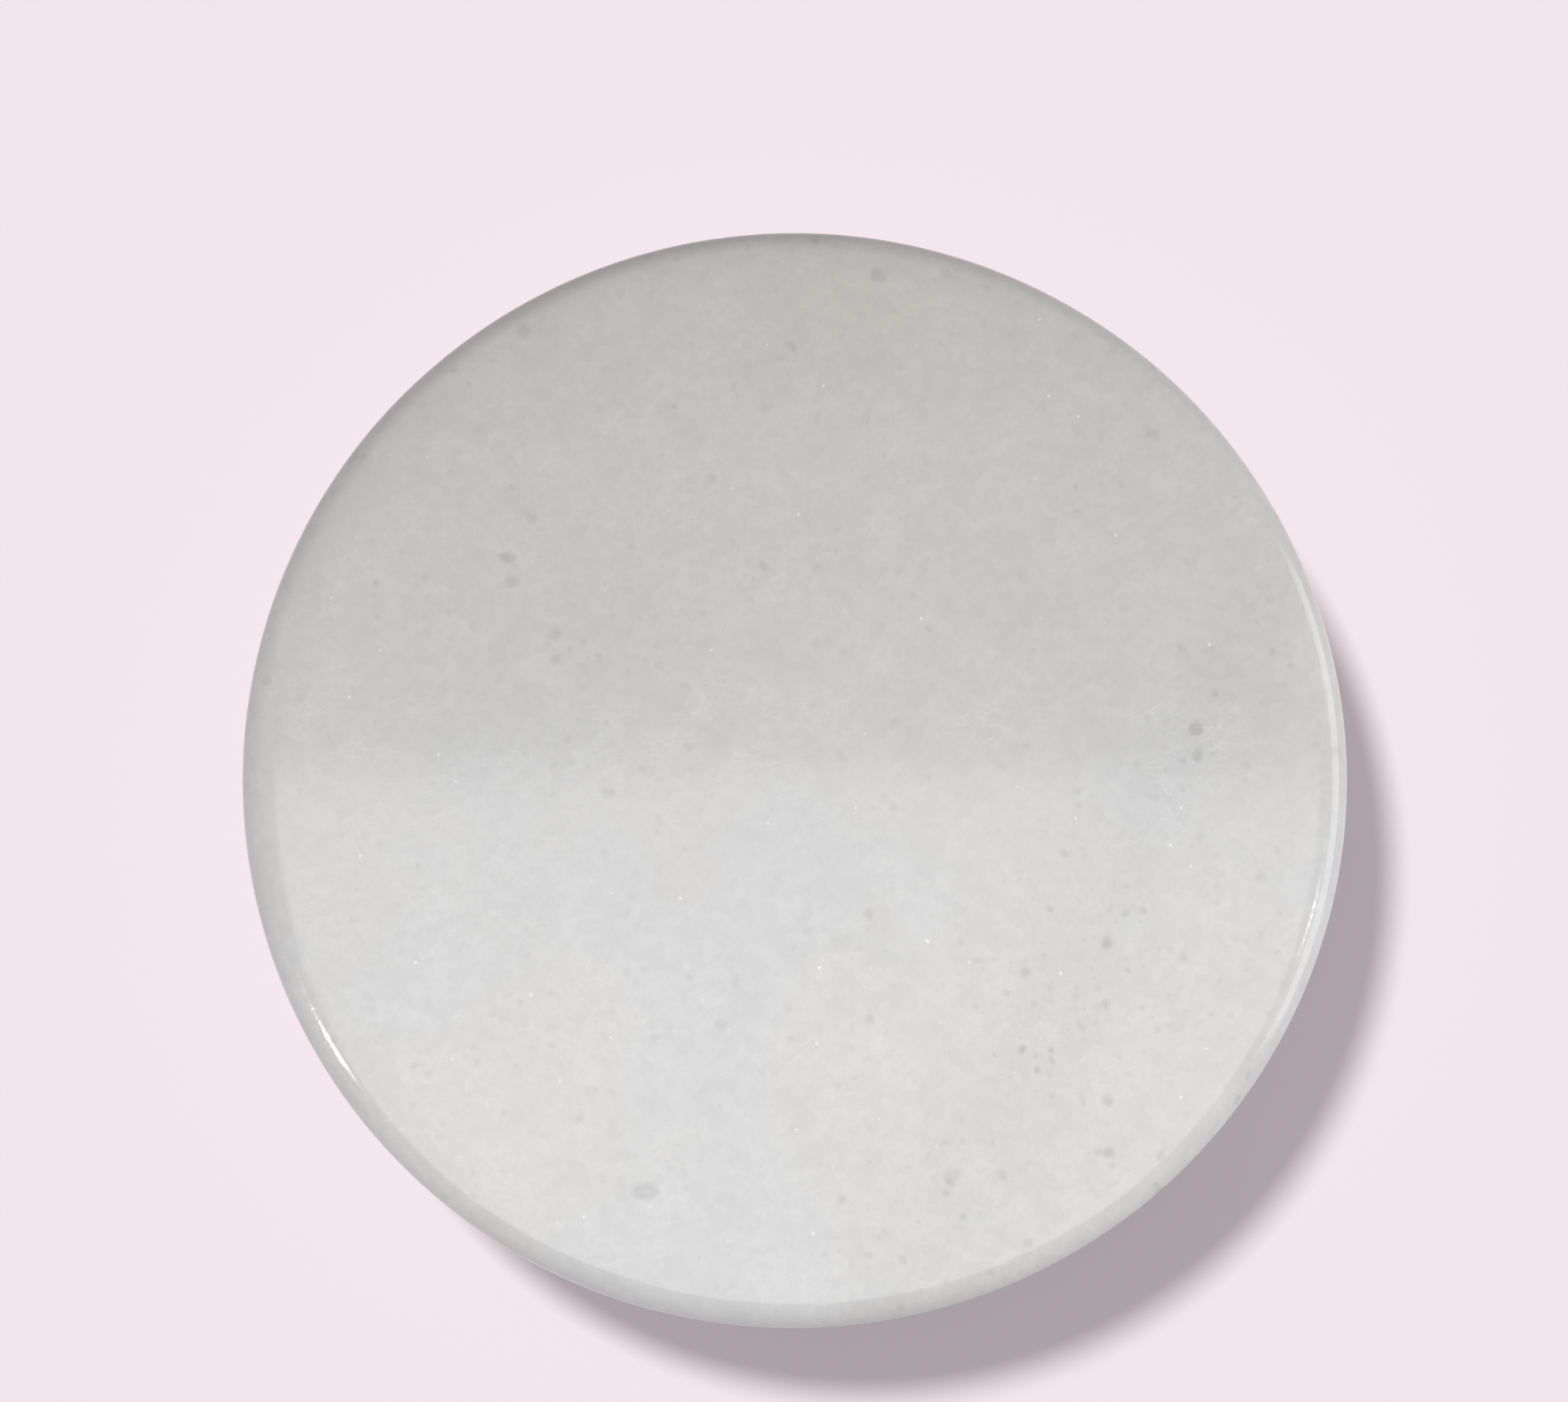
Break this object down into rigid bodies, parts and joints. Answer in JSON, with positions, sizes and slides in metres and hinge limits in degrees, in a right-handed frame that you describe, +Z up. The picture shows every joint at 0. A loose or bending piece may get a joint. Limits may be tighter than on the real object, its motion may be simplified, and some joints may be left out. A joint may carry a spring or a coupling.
{
  "type": "rolling board",
  "caption": "Round white marble board with a polished, rounded rim, raised on short turned stone legs with soft pads, for rolling out flatbread dough.",
  "frame": {"origin": "middle of the plane on which the floor pads stand, under the middle of the slab", "axes": "+Z up through the middle of the slab; +Y from the middle towards leg_1, with leg_2 and leg_3 a third of a turn to either side"},
  "size_m": [0.23, 0.23, 0.0408],
  "materials": {
    "board_marble": "coarse-grained white marble, polished on the top and rim, honed underneath",
    "leg_marble": "coarse-grained white marble, turned and polished",
    "resin": "set stone resin, smooth and slightly milky",
    "pin_steel": "drawn stainless rod, cut and chamfered",
    "pad_silicone": "matt milky silicone"
  },
  "bodies": {
    "root": {"rolling_board": "board_marble", "leg_1": "leg_marble", "leg_2": "leg_marble", "leg_3": "leg_marble", "resin_bed_1": "resin", "resin_bed_2": "resin", "resin_bed_3": "resin", "dowel_pin_1": "pin_steel", "dowel_pin_2": "pin_steel", "dowel_pin_3": "pin_steel", "floor_pad_1": "pad_silicone", "floor_pad_2": "pad_silicone", "floor_pad_3": "pad_silicone"}
  },
  "joints": []
}
